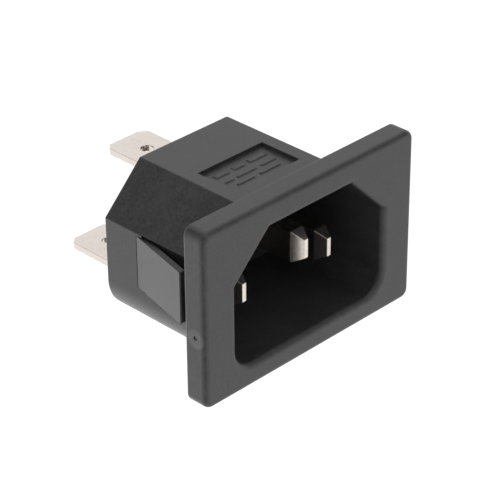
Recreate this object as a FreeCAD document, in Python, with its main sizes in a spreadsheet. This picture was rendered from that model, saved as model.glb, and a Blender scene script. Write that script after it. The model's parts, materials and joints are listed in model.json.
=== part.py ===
import FreeCAD, Part
import os
import Sketcher
from FreeCAD import Vector

# A snap-in C14 appliance inlet. Millimetres. X runs across the flange, +Y points into the panel and
# +Z points up. The origin is the middle of the socket on the plane where the flange meets the panel.

TOUCHING = 1e-3  # mm within which two positions count as the same
SMALLEST_CHANGE = 1e-6  # mm3 that a pad or a pocket has to add or take away

doc = FreeCAD.newDocument("PanelInlet")

SIZES = [
    # flange
    ("flange_width", 34.07, "flange across X"),
    ("flange_height", 22.55, "flange along Z"),
    ("flange_thickness", 3.09, "flange from the panel to the front face"),
    ("flange_rise", 0.15, "middle of the flange above the middle of the socket"),
    ("flange_corner", 1.2, "radius of the flange's four corners"),
    ("flange_edge", 0.7, "radius along the front edge of the flange"),
    ("flange_back_edge", 0.3, "radius along the back edge of the flange"),
    # body behind the panel
    ("body_half_width", 12.7, "side wall from the middle"),
    ("body_top", 9.48, "top face above the middle"),
    ("body_bottom", 9.36, "underside below the middle"),
    ("body_top_half", 7.02, "half the flat top, between the bevels"),
    ("body_shoulder", 3.79, "height at which a bevel meets the side wall"),
    ("body_depth", 17.6, "panel plane to the rear face"),
    ("body_corner", 4.8, "radius of the two lower corners"),
    ("body_edge", 0.25, "radius of the body's other edges"),
    # socket
    ("socket_half_width", 12.05, "socket wall from the middle"),
    ("socket_half_height", 8.24, "socket roof and floor from the middle"),
    ("socket_top_half", 6.66, "half the flat roof, between the bevels"),
    ("socket_shoulder", 2.91, "height at which a socket bevel meets the side"),
    ("socket_depth", 16.0, "front face to the socket's end wall"),
    ("socket_corner", 2.8, "radius of the two lower corners"),
    ("socket_rim", 0.75, "radius round the mouth"),
    # shallow field on the top of the body
    ("field_width", 10.4, "field across X"),
    ("field_front", 3.9, "front edge of the field from the panel"),
    ("field_back", 9.9, "rear edge of the field from the panel"),
    ("field_depth", 0.5, "depth of the field"),
    # snap arms
    ("arm_thickness", 0.75, "thickness of a snap arm"),
    ("arm_end", 2.97, "free end of a relaxed arm from the panel"),
    ("arm_top", 3.45, "upper edge of an arm"),
    ("arm_bottom", 3.3, "lower edge of an arm, below the middle"),
    ("arm_splay", 12.95, "angle of a relaxed arm, degrees"),
    ("arm_root", 12.2, "root axis from the panel"),
    ("arm_root_radius", 0.2, "round root of an arm, half its thickness there"),
    ("arm_taper", 3.2, "length from the root over which an arm reaches its thickness"),
    ("arm_corner", 0.25, "radius of the free end's upper and lower corners"),
    ("arm_tip", 0.15, "bevel of the free end's outer edge"),
    ("arm_gap", 0.03, "running gap round an arm's root"),
    ("window_front", 2.2, "front end of the arm's recess"),
    ("window_back", 11.4, "rear end of the slots above and below an arm"),
    ("window_top", 3.85, "upper edge of the recess"),
    ("window_bottom", 3.65, "lower edge of the recess, below the middle"),
    ("window_depth", 0.45, "depth of the recess from the side wall"),
    # contacts
    ("pin_width", 2.0, "blade across X"),
    ("pin_height", 4.0, "blade along Z"),
    ("pin_nose", 1.5, "length of the bevelled nose"),
    ("nose_width", 0.6, "flat at the tip across X"),
    ("nose_height", 2.4, "flat at the tip along Z"),
    ("pin_pitch", 14.0, "left power blade to right power blade"),
    ("power_drop", 1.66, "power blades below the middle"),
    ("earth_rise", 2.29, "earth blade above the middle"),
    ("power_tip", 0.81, "tip of a power blade from the panel"),
    ("earth_tip", -2.1, "tip of the earth blade from the panel"),
    ("strip_thickness", 0.8, "sheet of the tabs"),
    ("strip_width", 5.4, "sheet where it sits in the housing"),
    ("strip_bend", 0.4, "inside radius of the bend"),
    ("strip_margin", 0.2, "sheet past the blade, away from the tab"),
    ("power_offset", 3.39, "power blade's middle to the outer face of its tab"),
    ("earth_offset", 3.19, "earth blade's middle to the outer face of its tab"),
    ("power_end", 27.25, "end of a power tab from the panel"),
    ("earth_end", 28.05, "end of the earth tab from the panel"),
    ("tab_width", 6.3, "quick-connect tab across X"),
    ("tab_shoulder", 18.2, "where the tab reaches its full width"),
    ("tab_chamfer", 0.9, "chamfer of the tab's corners"),
    ("tab_bevel", 0.12, "bevel of the tab's end, in its thickness"),
    ("tab_bevel_length", 0.9, "bevel of the tab's end, along the tab"),
    ("hole_radius", 0.825, "latching hole in a tab"),
    ("power_hole", 23.7, "middle of a power tab's hole from the panel"),
    ("earth_hole", 23.93, "middle of the earth tab's hole from the panel"),
    # seats of the contacts in the housing
    ("seat_plane", 15.2, "floor of the rear pockets from the panel"),
    ("seat_gap", 0.1, "gap between a pocket and its strip"),
    ("slot_gap", 0.03, "gap between a slot and its blade"),
    ("stake_reach", 0.5, "reach of a staked lug over the strip"),
    ("stake_length", 0.6, "length of a staked lug along Y"),
    ("stake_height", 1.6, "height of a staked lug along Z"),
    # pit left by the moulding gate on the flange's left side
    ("gate_radius", 0.28, "radius of the pit"),
    ("gate_depth", 0.15, "depth of the pit"),
    ("gate_setback", 1.6, "pit in front of the panel plane"),
    ("gate_drop", 2.0, "pit below the middle"),
]

sheet = doc.addObject("Spreadsheet::Sheet", "Size")
for row, (alias, value, note) in enumerate(SIZES, start=1):
    sheet.set(f"A{row}", note)
    sheet.set(f"B{row}", str(value))
    sheet.setAlias(f"B{row}", alias)
doc.recompute()

# where each blade's middle is, the side its tab is bent to, and how far it reaches
CONTACTS = {
    "left_power_contact": {
        "x": "-Size.pin_pitch / 2", "z": "-Size.power_drop", "side": -1,
        "offset": "Size.power_offset", "tip": "Size.power_tip", "hole": "Size.power_hole",
        "end": "Size.power_end"},
    "right_power_contact": {
        "x": "Size.pin_pitch / 2", "z": "-Size.power_drop", "side": -1,
        "offset": "Size.power_offset", "tip": "Size.power_tip", "hole": "Size.power_hole",
        "end": "Size.power_end"},
    "earth_contact": {
        "x": "0", "z": "Size.earth_rise", "side": 1,
        "offset": "Size.earth_offset", "tip": "Size.earth_tip", "hole": "Size.earth_hole",
        "end": "Size.earth_end"},
}


def value_of(expression):
    """The number that an expression on the sheet gives."""
    result = sheet.evalExpression(str(expression))
    return float(getattr(result, "Value", result))


# sketches

def new_body(name):
    body = doc.addObject("PartDesign::Body", name)
    body.Label = name
    return body


def new_sketch(body, name, plane, offset="0"):
    """A sketch on one of the body's origin planes, moved along that plane's normal."""
    sketch = body.newObject("Sketcher::SketchObject", name)
    origin_plane = next(f for f in body.Origin.OriginFeatures if f.Role == plane)
    sketch.AttachmentSupport = [(origin_plane, "")]
    sketch.MapMode = "FlatFace"
    sketch.setExpression("AttachmentOffset.Base.z", str(offset))
    return sketch


def pin_point(sketch, geometry, position, x, y):
    """Hold a point of the sketch at coordinates that the sheet drives."""
    for kind, expression in (("DistanceX", x), ("DistanceY", y)):
        index = sketch.addConstraint(
            Sketcher.Constraint(kind, -1, 1, geometry, position, value_of(expression)))
        sketch.setExpression(f"Constraints[{index}]", str(expression))


def add_outline(sketch, corners):
    """A closed outline of straight lines through corners, each an (x, y) pair of expressions."""
    points = [Vector(value_of(x), value_of(y), 0) for x, y in corners]
    lines = [sketch.addGeometry(Part.LineSegment(start, end), False)
             for start, end in zip(points, points[1:] + points[:1])]
    for line, following in zip(lines, lines[1:] + lines[:1]):
        sketch.addConstraint(Sketcher.Constraint("Coincident", line, 2, following, 1))
    for line, (x, y) in zip(lines, corners):
        pin_point(sketch, line, 1, x, y)


def add_rectangle(sketch, left, right, low, high):
    add_outline(sketch, [(left, low), (right, low), (right, high), (left, high)])


def add_circle(sketch, x, y, radius):
    centre = Vector(value_of(x), value_of(y), 0)
    circle = sketch.addGeometry(
        Part.Circle(centre, Vector(0, 0, 1), value_of(radius)), False)
    pin_point(sketch, circle, 3, x, y)
    index = sketch.addConstraint(Sketcher.Constraint("Radius", circle, value_of(radius)))
    sketch.setExpression(f"Constraints[{index}]", str(radius))


# features

def extrude(body, kind, sketch, length, reverse=False, both_ways=False):
    """A pad or a pocket. It has to change the volume the way its kind says."""
    before = body.Tip.Shape.Volume if body.Tip else 0.0
    feature = body.newObject(f"PartDesign::{kind}", f"{sketch.Name}_{kind.lower()}")
    feature.Profile = sketch
    feature.setExpression("Length", str(length))
    feature.Reversed = reverse
    feature.Midplane = both_ways
    sketch.Visibility = False
    doc.recompute()
    change = feature.Shape.Volume - before
    if change * (1 if kind == "Pad" else -1) < SMALLEST_CHANGE:
        raise RuntimeError(f"{feature.Name} changed the volume by {change:.4f} mm3")


def matching_edges(shape, wanted):
    """Names of the edges whose middle and direction there satisfy wanted(middle, direction)."""
    names = []
    for number, edge in enumerate(shape.Edges, start=1):
        if edge.Degenerated:
            continue
        halfway = sum(edge.ParameterRange) / 2
        if wanted(edge.valueAt(halfway), edge.tangentAt(halfway)):
            names.append(f"Edge{number}")
    return names


def round_edges(body, name, radius, wanted, count):
    """Fillet the edges that match, after checking how many there are."""
    base = body.Tip
    names = matching_edges(base.Shape, wanted)
    if len(names) != count:
        raise RuntimeError(f"{name}: {len(names)} edges match, expected {count}")
    fillet = body.newObject("PartDesign::Fillet", name)
    fillet.Base = (base, names)
    fillet.setExpression("Radius", radius)
    doc.recompute()


def place(body, x, y, z, angle="0"):
    """Put the body where the sheet says, turned about its own Z axis."""
    for path, expression in (("Base.x", x), ("Base.y", y), ("Base.z", z), ("Rotation.Angle", angle)):
        body.setExpression(f"Placement.{path}", expression)
    doc.recompute()


def near(a, b):
    return abs(a - b) < TOUCHING


def runs_along_y(middle, way):
    return near(abs(way.y), 1)


# housing: flange, body and socket in one moulding

def bevelled_outline(half_top, top, half_width, shoulder, bottom):
    """The inlet's outline: flat top, two bevels, upright sides and a flat bottom."""
    return [
        (f"-{half_top}", top), (half_top, top), (half_width, shoulder),
        (half_width, f"-{bottom}"), (f"-{half_width}", f"-{bottom}"), (f"-{half_width}", shoulder),
    ]


def make_housing():
    body = new_body("housing")
    add_flange(body)
    add_block(body)
    add_socket(body)
    soften_block(body)
    add_field(body)
    for side, name in ((-1, "left"), (1, "right")):
        add_arm_recess(body, side, name)
    for name, contact in CONTACTS.items():
        add_contact_seat(body, name, contact)
    add_gate_mark(body)
    return body


def add_flange(body):
    sketch = new_sketch(body, "flange_outline", "XZ_Plane")
    low = "Size.flange_rise - Size.flange_height / 2"
    high = "Size.flange_rise + Size.flange_height / 2"
    add_rectangle(sketch, "-Size.flange_width / 2", "Size.flange_width / 2", low, high)
    extrude(body, "Pad", sketch, "Size.flange_thickness")
    round_edges(body, "flange_corners", "Size.flange_corner", runs_along_y, 4)
    front = -value_of("Size.flange_thickness")
    round_edges(body, "flange_front_edge", "Size.flange_edge",
                lambda middle, way: near(middle.y, front), 8)
    round_edges(body, "flange_back_edge", "Size.flange_back_edge",
                lambda middle, way: near(middle.y, 0), 8)


def add_block(body):
    sketch = new_sketch(body, "block_outline", "XZ_Plane")
    add_outline(sketch, bevelled_outline("Size.body_top_half", "Size.body_top",
                                         "Size.body_half_width", "Size.body_shoulder",
                                         "Size.body_bottom"))
    extrude(body, "Pad", sketch, "Size.body_depth", reverse=True)


def add_socket(body):
    sketch = new_sketch(body, "socket_outline", "XZ_Plane", "Size.flange_thickness")
    add_outline(sketch, bevelled_outline("Size.socket_top_half", "Size.socket_half_height",
                                         "Size.socket_half_width", "Size.socket_shoulder",
                                         "Size.socket_half_height"))
    extrude(body, "Pocket", sketch, "Size.socket_depth")
    front = -value_of("Size.flange_thickness")
    middle_depth = front + value_of("Size.socket_depth") / 2
    half_width = value_of("Size.socket_half_width")
    half_height = value_of("Size.socket_half_height")
    round_edges(body, "socket_lower_corners", "Size.socket_corner",
                lambda middle, way: near(middle.y, middle_depth) and near(middle.z, -half_height), 2)
    round_edges(body, "socket_rim", "Size.socket_rim",
                lambda middle, way: near(middle.y, front) and abs(middle.x) < half_width + TOUCHING
                and abs(middle.z) < half_height + TOUCHING, 8)


def soften_block(body):
    """Large lower corners along the block and small radii on its other edges."""
    rear = value_of("Size.body_depth")
    low = -value_of("Size.body_bottom")
    round_edges(body, "block_lower_corners", "Size.body_corner",
                lambda middle, way: near(middle.y, rear / 2) and near(middle.z, low), 2)
    shoulder = value_of("Size.body_shoulder")
    round_edges(body, "block_long_edges", "Size.body_edge",
                lambda middle, way: near(middle.y, rear / 2) and middle.z > shoulder - TOUCHING, 4)
    round_edges(body, "block_rear_edge", "Size.body_edge",
                lambda middle, way: near(middle.y, rear), 12)


def add_field(body):
    """The shallow rectangular field on top of the body."""
    sketch = new_sketch(body, "top_field", "XY_Plane", "Size.body_top")
    add_rectangle(sketch, "-Size.field_width / 2", "Size.field_width / 2",
                  "Size.field_front", "Size.field_back")
    extrude(body, "Pocket", sketch, "Size.field_depth")


def add_arm_recess(body, side, name):
    """The recess in a side wall that a snap arm presses into, and the round seat of its root."""
    window = new_sketch(body, f"recess_{name}", "YZ_Plane", f"{side} * Size.body_half_width")
    arm_low = "-(Size.arm_bottom + Size.arm_gap)"
    arm_high = "Size.arm_top + Size.arm_gap"
    add_outline(window, [
        ("Size.window_front", "-Size.window_bottom"), ("Size.window_back", "-Size.window_bottom"),
        ("Size.window_back", arm_low), ("Size.arm_root", arm_low),
        ("Size.arm_root", arm_high), ("Size.window_back", arm_high),
        ("Size.window_back", "Size.window_top"), ("Size.window_front", "Size.window_top"),
    ])
    extrude(body, "Pocket", window, "Size.window_depth", reverse=side < 0)
    seat = new_sketch(body, f"root_seat_{name}", "XY_Plane", arm_low)
    add_circle(seat, f"{side} * (Size.body_half_width - Size.arm_root_radius)", "Size.arm_root",
               "Size.arm_root_radius + Size.arm_gap")
    extrude(body, "Pocket", seat, "Size.arm_top + Size.arm_bottom + 2 * Size.arm_gap", reverse=True)


def add_contact_seat(body, name, contact):
    """A slot for the blade, a rear pocket for the strip behind it and two lugs staked over it."""
    x, z, side = contact["x"], contact["z"], contact["side"]
    slot = new_sketch(body, f"slot_{name}", "XZ_Plane", "-(Size.seat_plane + Size.seat_gap)")
    half_width = "(Size.pin_width / 2 + Size.slot_gap)"
    half_height = "(Size.pin_height / 2 + Size.slot_gap)"
    add_rectangle(slot, f"{x} - {half_width}", f"{x} + {half_width}",
                  f"{z} - {half_height}", f"{z} + {half_height}")
    extrude(body, "Pocket", slot, "Size.seat_plane + Size.seat_gap", reverse=True)

    pocket = new_sketch(body, f"pocket_{name}", "XZ_Plane", "-Size.seat_plane")
    half_strip = "(Size.strip_width / 2 + Size.seat_gap)"
    blade_end = f"{z} - {side} * (Size.pin_height / 2 + Size.strip_margin + Size.seat_gap)"
    tab_end = f"{z} + {side} * ({contact['offset']} + Size.seat_gap)"
    add_rectangle(pocket, f"{x} - {half_strip}", f"{x} + {half_strip}",
                  *sorted((blade_end, tab_end), key=value_of))
    extrude(body, "Pocket", pocket, "Size.body_depth - Size.seat_plane")

    lugs = new_sketch(body, f"lugs_{name}", "XZ_Plane", "-(Size.seat_plane + Size.strip_thickness)")
    for way in (-1, 1):
        reach = f"{x} + {way} * (Size.strip_width / 2 - Size.stake_reach)"
        root = f"{x} + {way} * (Size.strip_width / 2 + 2 * Size.seat_gap)"
        add_rectangle(lugs, *sorted((reach, root), key=value_of),
                      f"{z} - Size.stake_height / 2", f"{z} + Size.stake_height / 2")
    extrude(body, "Pad", lugs, "Size.stake_length", reverse=True)


def add_gate_mark(body):
    pit = new_sketch(body, "gate_pit", "YZ_Plane", "-Size.flange_width / 2")
    add_circle(pit, "-Size.gate_setback", "-Size.gate_drop", "Size.gate_radius")
    extrude(body, "Pocket", pit, "Size.gate_depth", reverse=True)


# snap arms

def make_arm(side, name):
    """A flat tongue. Its round root turns on the body's own Z axis and its free end points to -Y."""
    body = new_body(name)
    low = "-Size.arm_bottom"
    height = "Size.arm_top + Size.arm_bottom"
    outer = f"{side} * Size.arm_root_radius"
    inner = f"{side} * (Size.arm_root_radius - Size.arm_thickness)"
    angle = f"{side} * Size.arm_splay"

    # the free end is parallel to the panel when the arm is relaxed
    def end_at(x):
        return f"(Size.arm_end - Size.arm_root - {x} * sin({angle})) / cos({angle})"

    bevel = f"{side} * (Size.arm_root_radius - Size.arm_tip)"
    sketch = new_sketch(body, f"{name}_outline", "XY_Plane", low)
    add_outline(sketch, [
        (outer, "0"), (outer, f"{end_at(outer)} + Size.arm_tip"), (bevel, end_at(bevel)),
        (inner, end_at(inner)), (inner, "-Size.arm_taper"),
        (f"-{side} * Size.arm_root_radius", "0"),
    ])
    extrude(body, "Pad", sketch, height)
    root = new_sketch(body, f"{name}_root", "XY_Plane", low)
    add_circle(root, "0", "0", "Size.arm_root_radius")
    extrude(body, "Pad", root, height)
    free_end = -value_of("(Size.arm_root - Size.arm_end) / cos(Size.arm_splay)")
    round_edges(body, f"{name}_corners", "Size.arm_corner",
                lambda middle, way: middle.y < 0.95 * free_end and abs(way.x) > 0.9, 2)
    place(body, f"{side} * (Size.body_half_width - Size.arm_root_radius)", "Size.arm_root", "0", angle)
    return body


# contacts: blade, strip and tab in one piece

def make_contact(name, contact):
    """Lies along the body's Y axis from its blade's tip to its tab's end."""
    body = new_body(name)
    side, tip, end = contact["side"], contact["tip"], contact["end"]
    outer = f"{side} * {contact['offset']}"
    inner = f"{side} * ({contact['offset']} - Size.strip_thickness)"
    strip_back = "Size.seat_plane + Size.strip_thickness"
    blade_end = f"-{side} * (Size.pin_height / 2 + Size.strip_margin)"

    strip = new_sketch(body, f"{name}_strip", "YZ_Plane")
    add_outline(strip, [
        ("Size.seat_plane", blade_end), (strip_back, blade_end), (strip_back, inner),
        ("Size.tab_shoulder", inner), ("Size.tab_shoulder", outer), ("Size.seat_plane", outer),
    ])
    extrude(body, "Pad", strip, "Size.strip_width", both_ways=True)
    for kind, radius, y, z in (
            ("inside", "Size.strip_bend", strip_back, inner),
            ("outside", "Size.strip_bend + Size.strip_thickness", "Size.seat_plane", outer)):
        bend_y, bend_z = value_of(y), value_of(z)
        round_edges(body, f"{name}_bend_{kind}", radius,
                    lambda middle, way: near(middle.y, bend_y) and near(middle.z, bend_z), 1)

    tab = new_sketch(body, f"{name}_tab", "XY_Plane", min(outer, inner, key=value_of))
    half_tab = "Size.tab_width / 2"
    add_outline(tab, [
        (f"-{half_tab}", "Size.tab_shoulder"), (half_tab, "Size.tab_shoulder"),
        (half_tab, f"{end} - Size.tab_chamfer"), (f"{half_tab} - Size.tab_chamfer", end),
        (f"-{half_tab} + Size.tab_chamfer", end), (f"-{half_tab}", f"{end} - Size.tab_chamfer"),
    ])
    add_circle(tab, "0", contact["hole"], "Size.hole_radius")
    extrude(body, "Pad", tab, "Size.strip_thickness")
    bevel = new_sketch(body, f"{name}_bevel", "YZ_Plane")
    for face, way in ((outer, -side), (inner, side)):
        add_outline(bevel, [(f"{end} - Size.tab_bevel_length", face),
                            (end, f"{face} + {way} * Size.tab_bevel"), (end, face)])
    extrude(body, "Pocket", bevel, "Size.tab_width", both_ways=True)

    shoulder = f"{tip} + Size.pin_nose"
    blade = new_sketch(body, f"{name}_blade", "XZ_Plane", f"-({shoulder})")
    add_rectangle(blade, "-Size.pin_width / 2", "Size.pin_width / 2",
                  "-Size.pin_height / 2", "Size.pin_height / 2")
    extrude(body, "Pad", blade, f"Size.seat_plane - ({shoulder})", reverse=True)
    nose_root = new_sketch(body, f"{name}_nose_root", "XZ_Plane", f"-({shoulder})")
    add_rectangle(nose_root, "-Size.pin_width / 2", "Size.pin_width / 2",
                  "-Size.pin_height / 2", "Size.pin_height / 2")
    nose_tip = new_sketch(body, f"{name}_nose_tip", "XZ_Plane", f"-({tip})")
    add_rectangle(nose_tip, "-Size.nose_width / 2", "Size.nose_width / 2",
                  "-Size.nose_height / 2", "Size.nose_height / 2")
    nose = body.newObject("PartDesign::AdditiveLoft", f"{name}_nose")
    nose.Profile = nose_root
    nose.Sections = [nose_tip]
    nose.Ruled = True
    doc.recompute()
    place(body, contact["x"], "0", contact["z"])
    return body


# build, check and write

nodes = [make_housing(), make_arm(-1, "snap_arm_left"), make_arm(1, "snap_arm_right")]
nodes += [make_contact(name, contact) for name, contact in CONTACTS.items()]
doc.recompute()

for item in doc.Objects:
    if "Invalid" in item.State or "Error" in item.State:
        raise RuntimeError(f"{item.Name} failed: {item.State}")

os.makedirs("parts", exist_ok=True)
for node in nodes:
    shape = node.Shape
    if shape.isNull() or not shape.isValid() or len(shape.Solids) != 1:
        raise RuntimeError(f"{node.Label} is not one valid solid")
    shape.exportStep(f"parts/{node.Label}.step")
    box = shape.BoundBox
    print(f"{node.Label}: {shape.Volume:.1f} mm3, "
          f"{box.XLength:.2f} x {box.YLength:.2f} x {box.ZLength:.2f}")
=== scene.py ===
import bmesh
import bpy
import json
import math
import numpy as np
from mathutils import Matrix, Vector

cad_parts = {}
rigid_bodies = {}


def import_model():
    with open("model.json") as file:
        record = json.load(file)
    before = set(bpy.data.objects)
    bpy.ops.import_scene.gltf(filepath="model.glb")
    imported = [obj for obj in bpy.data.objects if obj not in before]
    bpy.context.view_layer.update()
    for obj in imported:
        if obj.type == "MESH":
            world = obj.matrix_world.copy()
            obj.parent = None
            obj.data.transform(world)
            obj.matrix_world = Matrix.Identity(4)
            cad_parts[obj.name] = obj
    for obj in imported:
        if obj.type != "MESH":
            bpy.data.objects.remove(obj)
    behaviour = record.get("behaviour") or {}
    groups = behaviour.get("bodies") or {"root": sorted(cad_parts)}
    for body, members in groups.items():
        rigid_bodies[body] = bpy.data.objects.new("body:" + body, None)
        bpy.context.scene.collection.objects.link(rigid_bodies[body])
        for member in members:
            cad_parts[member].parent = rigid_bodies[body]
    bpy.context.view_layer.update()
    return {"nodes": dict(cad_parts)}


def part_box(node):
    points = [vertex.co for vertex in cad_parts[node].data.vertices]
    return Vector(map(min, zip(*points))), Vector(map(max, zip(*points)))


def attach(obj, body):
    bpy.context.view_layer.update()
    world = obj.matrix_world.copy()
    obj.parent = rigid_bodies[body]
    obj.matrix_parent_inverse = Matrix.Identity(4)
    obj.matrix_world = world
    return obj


for leftover in list(bpy.data.objects):
    bpy.data.objects.remove(leftover)  # the start-up cube, lamp and camera
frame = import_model()
nodes = frame["nodes"]
mm = 0.001
print("frame loaded:", len(nodes), "nodes")


# shader values: arithmetic on a Wire adds Math nodes, and add() makes any other node
class Wire:
    def __init__(self, tree, socket=None):
        self.tree = tree
        self.socket = socket

    def add(self, kind, settings=(), inputs=(), output=0):
        node = self.tree.nodes.new("ShaderNode" + kind)
        for name, value in dict(settings).items():
            setattr(node, name, value)
        for name, value in dict(inputs).items():
            if isinstance(value, Wire):
                self.tree.links.new(value.socket, node.inputs[name])
            else:
                node.inputs[name].default_value = value
        return Wire(self.tree, node.outputs[output] if node.outputs else None)

    def maths(self, operation, first, second):
        return self.add("Math", {"operation": operation}, {0: first, 1: second})

    def __add__(self, other): return self.maths("ADD", self, other)
    def __radd__(self, other): return self.maths("ADD", other, self)
    def __sub__(self, other): return self.maths("SUBTRACT", self, other)
    def __rsub__(self, other): return self.maths("SUBTRACT", other, self)
    def __mul__(self, other): return self.maths("MULTIPLY", self, other)
    def __rmul__(self, other): return self.maths("MULTIPLY", other, self)

    def between(self, low, high, toLow=0.0, toHigh=1.0):  # low..high carried to toLow..toHigh, clamped
        return self.add("MapRange", {"interpolation_type": "SMOOTHSTEP"},
                        {0: self, 1: low, 2: high, 3: toLow, 4: toHigh})

    def mix(self, low, high):  # a colour from low at 0 to high at 1
        low, high = (c if isinstance(c, Wire) else (*c, 1) for c in (low, high))
        return self.add("Mix", {"data_type": "RGBA"}, {0: self, 6: low, 7: high}, 2)  # its colour sockets


def newMaterial(name):
    material = bpy.data.materials.new(name)
    material.use_nodes = True
    material.node_tree.nodes.clear()
    return material, Wire(material.node_tree)


def finishMaterial(start, surface):
    start.add("OutputMaterial", inputs={"Surface": surface})


def finishSurface(start, relief, height, rounded, looks):  # relief stands up to height over rounded
    bump = start.add("Bump", inputs={"Strength": 1.0, "Distance": height, "Height": relief,
                                     "Normal": rounded})
    finishMaterial(start, start.add("BsdfPrincipled", inputs={**looks, "Normal": bump}))


def noise(place, scale, detail, roughness=0.5):
    return place.add("TexNoise", inputs={"Vector": place, "Scale": scale, "Detail": detail,
                                         "Roughness": roughness})


edges = {"samples": 6, "turned": (0.01, 0.2)}  # how far a normal has turned from flat face to full edge


def edgeOf(start, width):  # a normal rounded over sharp edges, and 1 where it leaves the face's own
    rounded = start.add("Bevel", {"samples": edges["samples"]}, {"Radius": width})
    own = start.add("NewGeometry", output="Normal")
    agreement = start.add("VectorMath", {"operation": "DOT_PRODUCT"}, {0: rounded, 1: own}, "Value")
    return rounded, (1 - agreement).between(*edges["turned"])


def paint(obj, material):
    obj.data.materials.clear()
    obj.data.materials.append(material)


def linked(name, data):
    obj = bpy.data.objects.new(name, data)
    bpy.context.scene.collection.objects.link(obj)
    return obj


moulding = {
    "deep": (0.014, 0.014, 0.0152), "pale": (0.032, 0.032, 0.0345),
    "mottleScale": 620, "broadScale": 124, "broadShare": 0.4, "mottleRange": (0.35, 0.65),
    "speckleScale": 2900, "speckleShare": 0.55, "speckleRange": (0.3, 0.7),
    "grainScale": 5200, "grainHeight": 0.012 * mm,
    "roughness": 0.43, "roughnessSpread": 0.07, "grainRoughness": 0.12, "refraction": 1.57,
    "worn": (0.060, 0.060, 0.062), "wear": 0.3, "wearRange": (0.4, 0.65), "edgeWidth": 0.06 * mm,
    # the paler skin round the moulding gate: its middle, where it fades and ends, and its cloudiness
    "gatePale": (0.072, 0.072, 0.074), "gate": (-17.035 * mm, -1.6 * mm, -2.1 * mm),
    "gateReach": (1.0 * mm, 1.4 * mm), "gatePaleRange": (0.3, 0.7), "gatePaleStrength": (0.55, 1),
}


def mouldedPlastic():
    m = moulding
    material, start = newMaterial("mouldedPlastic")
    place = start.add("TexCoord", output="Object")
    cloud = noise(place, m["mottleScale"], 4, 0.6)
    broad = noise(place, m["broadScale"], 2)
    grain = noise(place, m["grainScale"], 3, 0.7)
    speckle = noise(place, m["speckleScale"], 1)
    mottle = (cloud * (1 - m["broadShare"]) + broad * m["broadShare"]).between(*m["mottleRange"])
    spread = (mottle * (1 - m["speckleShare"])
              + speckle.between(*m["speckleRange"]) * m["speckleShare"])
    away = start.add("VectorMath", {"operation": "DISTANCE"}, {0: place, 1: m["gate"]}, "Value")
    # the colour is made paler round the gate, fading out between the two reaches and patchy with the
    # cloud
    gatePale = (away.between(*m["gateReach"], 1, 0)
             * cloud.between(*m["gatePaleRange"], *m["gatePaleStrength"]))
    plain = gatePale.mix(spread.mix(m["deep"], m["pale"]), m["gatePale"])
    rounded, edge = edgeOf(start, m["edgeWidth"])
    worn = edge * cloud.between(*m["wearRange"]) * m["wear"]
    roughness = (m["roughness"] + (spread - 0.5) * m["roughnessSpread"]
                 + (grain - 0.5) * m["grainRoughness"])
    finishSurface(start, grain, m["grainHeight"], rounded, {
        "Base Color": worn.mix(plain, m["worn"]), "Roughness": roughness, "IOR": m["refraction"]})
    return material


plate = {
    "bright": (0.735, 0.675, 0.620), "dull": (0.645, 0.580, 0.520),
    "rollScale": 2600, "rollStretch": (1.0, 0.06, 1.0), "rollHeight": 0.002 * mm,
    "spotScale": 900, "rollShare": 0.35, "dullRange": (0.45, 0.75),
    "roughness": 0.14, "dullRoughness": 0.08, "rollRoughness": 0.10, "cutRoughness": 0.12,
    # the plating is thinner where the sheet was cut
    "cut": (0.46, 0.40, 0.32), "cutRange": (0.3, 0.6), "cutStrength": (0.55, 0.9),
    "edgeWidth": 0.11 * mm,
}


def nickelPlate():
    p = plate
    material, start = newMaterial("nickelPlate")
    place = start.add("TexCoord", output="Object")
    stretched = start.add("Mapping", inputs={"Vector": place, "Scale": p["rollStretch"]})
    rolled = noise(stretched, p["rollScale"], 4, 0.65)
    spots = noise(place, p["spotScale"], 5, 0.7)
    dull = (spots * (1 - p["rollShare"]) + rolled * p["rollShare"]).between(*p["dullRange"])
    rounded, edge = edgeOf(start, p["edgeWidth"])
    cut = edge * spots.between(*p["cutRange"], *p["cutStrength"])
    roughness = (p["roughness"] + dull * p["dullRoughness"]
                 + (rolled - 0.5) * p["rollRoughness"] + cut * p["cutRoughness"])
    finishSurface(start, rolled, p["rollHeight"], rounded, {
        "Base Color": cut.mix(dull.mix(p["bright"], p["dull"]), p["cut"]), "Metallic": 1.0,
        "Roughness": roughness})
    return material


plastic = mouldedPlastic()
nickel = nickelPlate()
for name, node in nodes.items():
    paint(node, nickel if name.endswith("contact") else plastic)
print("finishes on the", len(nodes), "nodes")


bars = {
    "height": 0.12 * mm, "sunk": 0.03 * mm, "slope": 0.12 * mm, "steps": 9, "weld": 1e-7,
    # middle x, middle y, length along x and width along y of each plain raised bar
    "places": np.array([(-2.95, 8.35, 2.3, 0.9), (-0.30, 8.35, 1.9, 0.9), (2.75, 8.35, 2.9, 0.9),
                        (-3.35, 6.65, 1.5, 0.5), (-0.55, 6.65, 3.2, 0.5), (2.95, 6.65, 2.5, 0.5),
                        (-1.95, 5.35, 2.9, 0.5), (1.90, 5.35, 3.4, 0.5)]) * mm,
}


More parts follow.
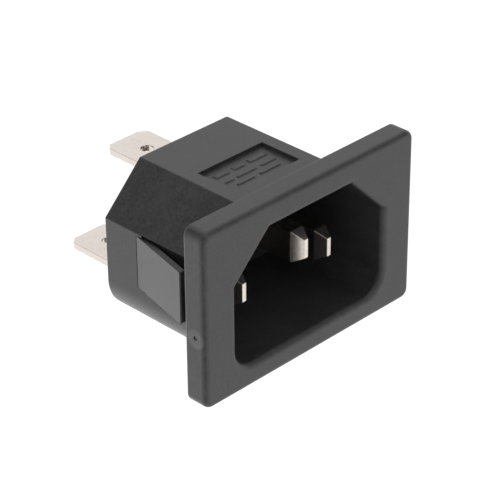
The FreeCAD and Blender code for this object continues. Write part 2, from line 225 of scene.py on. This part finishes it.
def raisedBars():
    b = bars
    # each bar is a closed pillow over u and v from -1 to 1: its top rises within one slope of the
    # rim by 3t2 - 2t3 of the distance t, and its underside is flat, just below the field's floor
    side = np.linspace(-1, 1, b["steps"])
    side = np.sign(side) * (1 - (1 - np.abs(side)) ** 2)  # rows crowd towards the rim
    v, u = np.meshgrid(side, side, indexing="ij")
    x, y, length, width = (b["places"][:, k, None] for k in range(4))
    alongX, alongY = u.ravel() * length / 2, v.ravel() * width / 2
    rim = np.minimum(length / 2 - np.abs(alongX), width / 2 - np.abs(alongY))
    t = np.clip(rim / b["slope"], 0, 1)
    above = Vector((*b["places"].mean(0)[:2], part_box("housing")[1].z))
    fieldFloor = nodes["housing"].ray_cast(above, Vector((0, 0, -1)))[1].z
    under = np.full_like(t, fieldFloor - b["sunk"])
    top = under + (b["height"] + b["sunk"]) * t * t * (3 - 2 * t)
    points = np.concatenate([np.stack([x + alongX, y + alongY, z], -1) for z in (top, under)])
    n = b["steps"]
    corner = (np.arange(n - 1)[:, None] * n + np.arange(n - 1)).ravel()
    quad = np.stack([corner, corner + 1, corner + n + 1, corner + n], -1)
    sheets = [quad if number < len(x) else quad[:, ::-1] for number in range(2 * len(x))]
    quads = np.concatenate([sheet + number * n * n for number, sheet in enumerate(sheets)])
    mesh = bpy.data.meshes.new("field_bars")
    mesh.from_pydata(points.reshape(-1, 3).tolist(), [], quads.tolist())
    shell = bmesh.new()
    shell.from_mesh(mesh)
    bmesh.ops.remove_doubles(shell, verts=shell.verts, dist=b["weld"])  # the sheets meet along the rim
    shell.to_mesh(mesh)
    shell.free()
    mesh.polygons.foreach_set("use_smooth", np.ones(len(mesh.polygons), bool))
    obj = linked("field_bars", mesh)
    paint(obj, plastic)
    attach(obj, "inlet")


raisedBars()
print("bars in the top field")


shot = {
    "azimuth": -45.167, "elevation": 30.777, "roll": -0.476, "lens": 155.83, "sensor": 36,
    "distance": 251.01 * mm, "target": Vector((0, 7.92, 0)) * mm,
    "across": -0.798 * mm, "up": 1.730 * mm, "clip": (0.01, 20),
}


def placeCamera():
    s = shot
    azimuth, elevation, roll = (math.radians(s[k]) for k in ("azimuth", "elevation", "roll"))
    back = Vector((math.sin(azimuth) * math.cos(elevation), -math.cos(azimuth) * math.cos(elevation),
                   math.sin(elevation)))
    level = (-back).cross(Vector((0, 0, 1))).normalized()
    upright = level.cross(-back)
    right = level * math.cos(roll) + upright * math.sin(roll)
    up = upright * math.cos(roll) - level * math.sin(roll)
    place = s["target"] + back * s["distance"] - right * s["across"] - up * s["up"]
    data = bpy.data.cameras.new("camera")
    data.lens, data.sensor_width = s["lens"], s["sensor"]
    data.clip_start, data.clip_end = s["clip"]
    camera = linked("camera", data)
    turn = Matrix((right, up, back)).transposed().to_4x4()
    camera.matrix_world = Matrix.Translation(place) @ turn
    bpy.context.scene.camera = camera


studio = {
    "floorDrop": 150 * mm, "floorSide": 6.0, "floorColour": (0.93, 0.93, 0.93), "floorSeen": 0.14,
    "world": 1.0, "aim": Vector((0, 8, 0)) * mm,
    "cards": {  # where each card stands, its side, and how pale it looks where the world is 1
        "highLeft": ((-0.17, 0.21, 0.21), 0.24, 0.10),
        "highFront": ((0.19, -0.16, 0.19), 0.28, 0.30),
        "underBack": ((-0.01, 0.10, -0.14), 0.16, 1.65),
        "lowNear": ((-0.165, -0.115, -0.085), 0.16, 0.30),
        "highNear": ((-0.17, -0.17, 0.13), 0.28, 0.30),
        "highSide": ((-0.20, 0.01, 0.22), 0.24, 0.30),
    },
    "lamps": {  # where each soft lamp stands, its side and its power
        "overhead": ((0.0, 0.0, 0.60), 0.50, 0.16),
        "backLow": ((-0.05, 0.22, -0.12), 0.10, 0.035),
    },
}


def flatSquare(name, side, placing):
    across, along = np.meshgrid((-side / 2, side / 2), (-side / 2, side / 2))
    corners = np.stack([across, along, np.zeros_like(across)], -1).reshape(-1, 3)
    mesh = bpy.data.meshes.new(name)
    mesh.from_pydata(corners.tolist(), [], [(0, 1, 3, 2)])
    mesh.transform(placing)
    return linked(name, mesh)


def turnToObject(place):
    return (studio["aim"] - Vector(place)).to_track_quat("-Z", "Y")


def seenDirectly(start):  # 1 for what the camera and mirror-like surfaces see, 0 for light on the object
    camera, glossy = (start.add("LightPath", output=ray) for ray in ("Is Camera Ray", "Is Glossy Ray"))
    return (camera + glossy).between(0, 1)


def plainFloor():
    s = studio
    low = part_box("housing")[0].z - s["floorDrop"]
    floor = flatSquare("floor", s["floorSide"], Matrix.Translation((0, 0, low)))
    material, start = newMaterial("palePaper")
    paper = start.add("BsdfDiffuse", inputs={"Color": (*s["floorColour"], 1)})
    glow = start.add("Emission", inputs={"Strength": s["floorSeen"]})
    paler = start.add("AddShader", inputs={0: paper, 1: glow})
    shown = start.add("MixShader", inputs={0: seenDirectly(start), 1: paper, 2: paler})
    clear = start.add("BsdfTransparent")
    underside = start.add("NewGeometry", output="Backfacing")  # views from below look through it
    finishMaterial(start, start.add("MixShader", inputs={0: underside, 1: shown, 2: clear}))
    paint(floor, material)


def reflectionCards():  # they shade or lift the edges that mirror them, and nothing else sees them
    for name, (place, side, pale) in studio["cards"].items():
        placing = Matrix.Translation(place) @ turnToObject(place).to_matrix().to_4x4()
        card = flatSquare(name, side, placing)
        card.visible_camera = card.visible_diffuse = card.visible_shadow = False
        material, start = newMaterial(name + "Card")
        finishMaterial(start, start.add("Emission", inputs={"Strength": pale}))
        paint(card, material)


def softLamps():
    for name, (place, side, power) in studio["lamps"].items():
        data = bpy.data.lights.new(name, "AREA")
        data.shape, data.size, data.energy = "SQUARE", side, power
        lamp = linked(name, data)
        lamp.location = place
        lamp.rotation_euler = turnToObject(place).to_euler()
        lamp.visible_camera = False


def paleWorld():
    world = bpy.data.worlds.new("studioWorld")
    bpy.context.scene.world = world
    world.use_nodes = True
    world.node_tree.nodes.clear()
    start = Wire(world.node_tree)
    start.add("OutputWorld", inputs={"Surface": start.add("Background", inputs={
        "Color": (1, 1, 1, 1), "Strength": studio["world"]})})


placeCamera()
plainFloor()
reflectionCards()
softLamps()
paleWorld()
bpy.context.scene.view_settings.view_transform = "Standard"
print("camera, floor, cards and lamps placed")
